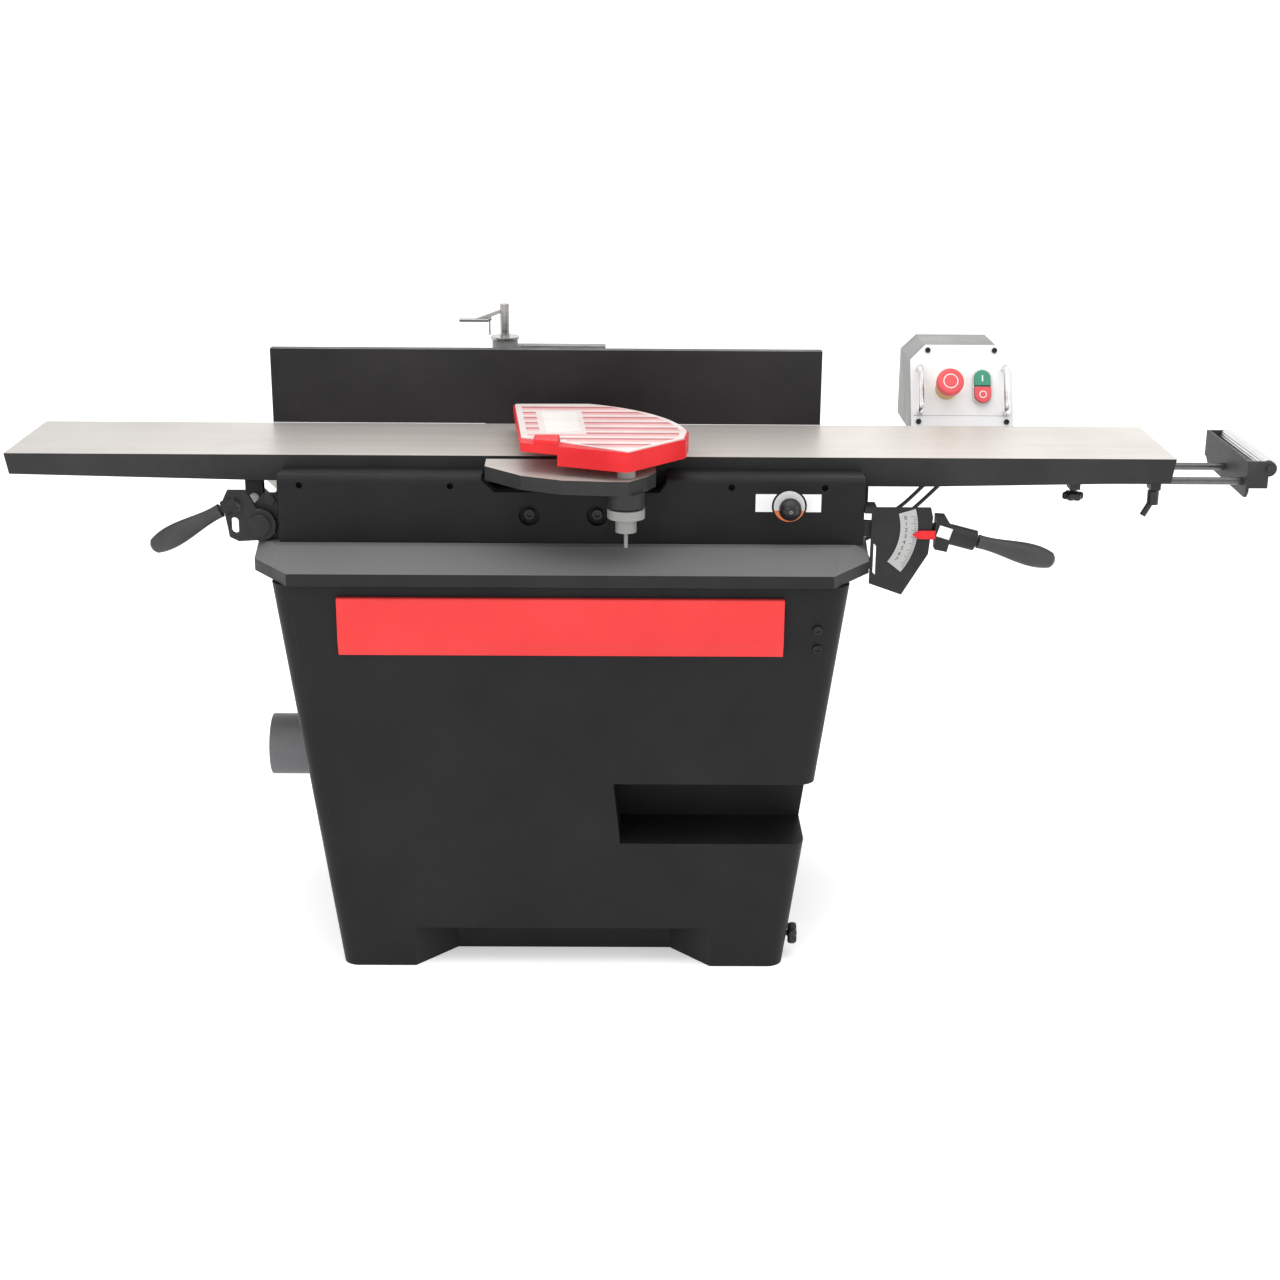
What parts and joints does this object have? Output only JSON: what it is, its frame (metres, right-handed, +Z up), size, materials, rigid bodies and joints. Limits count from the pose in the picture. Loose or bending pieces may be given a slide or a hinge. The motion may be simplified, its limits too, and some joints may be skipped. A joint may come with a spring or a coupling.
{
  "type": "jointer",
  "caption": "Long-bed woodworking jointer with a tapered cabinet, parallelogram tables, swing guard, tilting fence, control box and pull-out infeed roller.",
  "frame": {"origin": "on the floor, centre of the four floor-bolt holes in the cabinet's foot plates", "axes": "+X to the infeed end with the roller, +Y to the fence at the back, +Z up"},
  "size_m": [1.989, 0.648, 0.978],
  "materials": {
    "charcoal_paint": "satin",
    "black_paint": "satin",
    "grey_paint": "semi-gloss",
    "red_paint": "gloss",
    "ground_iron": "ground",
    "black_iron": "painted casting",
    "steel": "machined",
    "bright_steel": "polished",
    "carbide": "ground",
    "aluminium": "ribbed",
    "red_plastic": "gloss",
    "white_plastic": "satin",
    "grey_plastic": "satin",
    "black_plastic": "gloss",
    "green_plastic": "gloss",
    "orange_plastic": "gloss",
    "belt_rubber": "matt",
    "cable_rubber": "matt",
    "panel_white": "satin"
  },
  "bodies": {
    "stand": {"cabinet_shell": "charcoal_paint", "red_front_panel": "red_paint", "rear_access_panel": "charcoal_paint", "dust_port": "grey_plastic", "dust_chute": "steel", "motor_shelf": "steel", "motor_body": "grey_paint", "base_plinth": "grey_paint", "base_casting": "black_iron", "front_cover": "black_paint", "machine_screws": "black_paint", "data_labels": "white_plastic", "knob_ring": "orange_plastic", "belt_guard": "black_paint", "bearing_blocks": "black_iron", "head_bearings": "bright_steel", "scale_bracket": "black_paint", "outfeed_end_bracket": "black_paint", "fence_support": "black_iron", "control_post": "black_paint", "control_housing": "grey_paint", "control_panel": "panel_white", "grab_handles": "bright_steel", "button_bezels": "white_plastic", "control_cables": "cable_rubber", "cable_glands": "black_plastic", "drive_belt": "belt_rubber"},
    "motor_rotor": {"motor_pulley": "steel"},
    "cutter": {"cutterhead": "steel", "cutter_inserts": "carbide", "head_pulley": "steel"},
    "infeed_lever": {"infeed_lever_shaft": "steel", "infeed_lever_arm": "black_paint", "infeed_grip": "grey_plastic", "depth_pointer": "red_plastic"},
    "infeed_link": {"infeed_link": "steel"},
    "infeed_table": {"infeed_table": "ground_iron", "rabbeting_ledge": "ground_iron"},
    "guard": {"guard_body": "red_plastic", "guard_plate": "white_plastic", "guard_post": "steel"},
    "roller_extension": {"roller_rods": "bright_steel", "roller_bracket": "black_paint"},
    "roller": {"roller": "aluminium"},
    "rod_lock_knob": {"rod_lock_knob": "black_plastic"},
    "rod_lock_lever": {"rod_lock_lever": "black_plastic"},
    "outfeed_lever": {"outfeed_lever_shaft": "steel", "outfeed_lever_plate": "black_paint", "outfeed_grip": "grey_plastic"},
    "outfeed_link": {"outfeed_link": "steel"},
    "outfeed_table": {"outfeed_table": "ground_iron"},
    "fence_carriage": {"fence_carriage": "grey_paint"},
    "fence": {"fence_plate": "black_iron"},
    "fence_tilt_lock": {"fence_tilt_lock": "black_plastic"},
    "fence_slide_lock": {"fence_slide_lock": "steel"},
    "estop_button": {"estop_button": "red_plastic"},
    "start_button": {"start_button": "green_plastic"},
    "stop_button": {"stop_button": "red_plastic"},
    "depth_stop_knob": {"depth_stop_knob": "black_plastic"},
    "side_knob": {"side_knob": "black_plastic"}
  },
  "joints": [
    {"name": "head_spin", "type": "hinge", "parent": "stand", "child": "cutter", "pos_m": [0.043, 0.035, 0.762], "axis": [0, 1, 0], "continuous": true},
    {"name": "motor_spin", "type": "hinge", "parent": "stand", "child": "motor_rotor", "pos_m": [0.1, 0.2, 0.43], "axis": [0, 1, 0], "continuous": true},
    {"name": "infeed_lift", "type": "hinge", "parent": "stand", "child": "infeed_lever", "pos_m": [0.445, 0, 0.703], "axis": [0, 1, 0], "range_deg": [0, 27.7]},
    {"name": "infeed_level", "type": "hinge", "parent": "infeed_lever", "child": "infeed_table", "pos_m": [0.46692, 0.035, 0.72492], "axis": [0, 1, 0], "range_deg": [-27.7, 0]},
    {"name": "infeed_link_swing", "type": "hinge", "parent": "stand", "child": "infeed_link", "pos_m": [0.238, 0.035, 0.703], "axis": [0, 1, 0], "range_deg": [0, 27.7]},
    {"name": "outfeed_lift", "type": "hinge", "parent": "stand", "child": "outfeed_lever", "pos_m": [-0.467, 0, 0.703], "axis": [0, -1, 0], "range_deg": [0, 8]},
    {"name": "outfeed_level", "type": "hinge", "parent": "outfeed_lever", "child": "outfeed_table", "pos_m": [-0.48892, 0.035, 0.72492], "axis": [0, -1, 0], "range_deg": [-8, 0]},
    {"name": "outfeed_link_swing", "type": "hinge", "parent": "stand", "child": "outfeed_link", "pos_m": [-0.15, 0.035, 0.703], "axis": [0, -1, 0], "range_deg": [0, 8]},
    {"name": "guard_swing", "type": "hinge", "parent": "infeed_table", "child": "guard", "pos_m": [0.098, -0.225, 0.8], "axis": [0, 0, 1], "range_deg": [0, 65], "stiffness_Nm_per_rad": 0.4, "springref_deg": -22.92},
    {"name": "roller_extend", "type": "slide", "parent": "infeed_table", "child": "roller_extension", "axis": [1, 0, 0], "range_m": [-0.1, 0.09]},
    {"name": "roller_spin", "type": "hinge", "parent": "roller_extension", "child": "roller", "pos_m": [1.104, 0.0325, 0.786], "axis": [0, 1, 0], "continuous": true},
    {"name": "rod_lock_turn", "type": "hinge", "parent": "infeed_table", "child": "rod_lock_knob", "pos_m": [0.805, -0.06, 0.735], "axis": [0, 0, 1], "range_deg": [-120, 120]},
    {"name": "rod_lever_turn", "type": "hinge", "parent": "infeed_table", "child": "rod_lock_lever", "pos_m": [0.932, -0.06, 0.73], "axis": [0, 0, 1], "range_deg": [-90, 90]},
    {"name": "fence_slide", "type": "slide", "parent": "stand", "child": "fence_carriage", "axis": [0, 1, 0], "range_m": [-0.05, 0]},
    {"name": "fence_tilt", "type": "hinge", "parent": "fence_carriage", "child": "fence", "pos_m": [0, 0.174, 0.809], "axis": [1, 0, 0], "range_deg": [-45, 0]},
    {"name": "tilt_lock_turn", "type": "hinge", "parent": "fence_carriage", "child": "fence_tilt_lock", "pos_m": [0.0565, 0.2446, 0.87257], "axis": [1, 0, 0], "range_deg": [-30, 40]},
    {"name": "slide_lock_turn", "type": "hinge", "parent": "fence_carriage", "child": "fence_slide_lock", "pos_m": [-0.112, 0.3, 0.92], "axis": [0, 0, 1], "range_deg": [-60, 60]},
    {"name": "estop_press", "type": "slide", "parent": "stand", "child": "estop_button", "axis": [0, 0.8944, -0.4472], "range_m": [0, 0.004], "stiffness_N_per_m": 1500, "springref_m": -0.002},
    {"name": "start_press", "type": "slide", "parent": "stand", "child": "start_button", "axis": [0, 0.8944, -0.4472], "range_m": [0, 0.0025], "stiffness_N_per_m": 1200, "springref_m": -0.002},
    {"name": "stop_press", "type": "slide", "parent": "stand", "child": "stop_button", "axis": [0, 0.8944, -0.4472], "range_m": [0, 0.0025], "stiffness_N_per_m": 1200, "springref_m": -0.002},
    {"name": "depth_stop_turn", "type": "hinge", "parent": "stand", "child": "depth_stop_knob", "pos_m": [0.349, -0.15, 0.738], "axis": [0, 1, 0], "range_deg": [-135, 135]},
    {"name": "side_knob_turn", "type": "hinge", "parent": "stand", "child": "side_knob", "pos_m": [0.36, -0.205, 0.04], "axis": [1, 0, 0], "range_deg": [-180, 180]}
  ],
  "couplings": [
    {"joint": "motor_spin", "follows": "head_spin", "ratio": 0.6579},
    {"joint": "infeed_level", "follows": "infeed_lift", "ratio": -1},
    {"joint": "infeed_link_swing", "follows": "infeed_lift", "ratio": 1},
    {"joint": "outfeed_level", "follows": "outfeed_lift", "ratio": -1},
    {"joint": "outfeed_link_swing", "follows": "outfeed_lift", "ratio": 1}
  ]
}
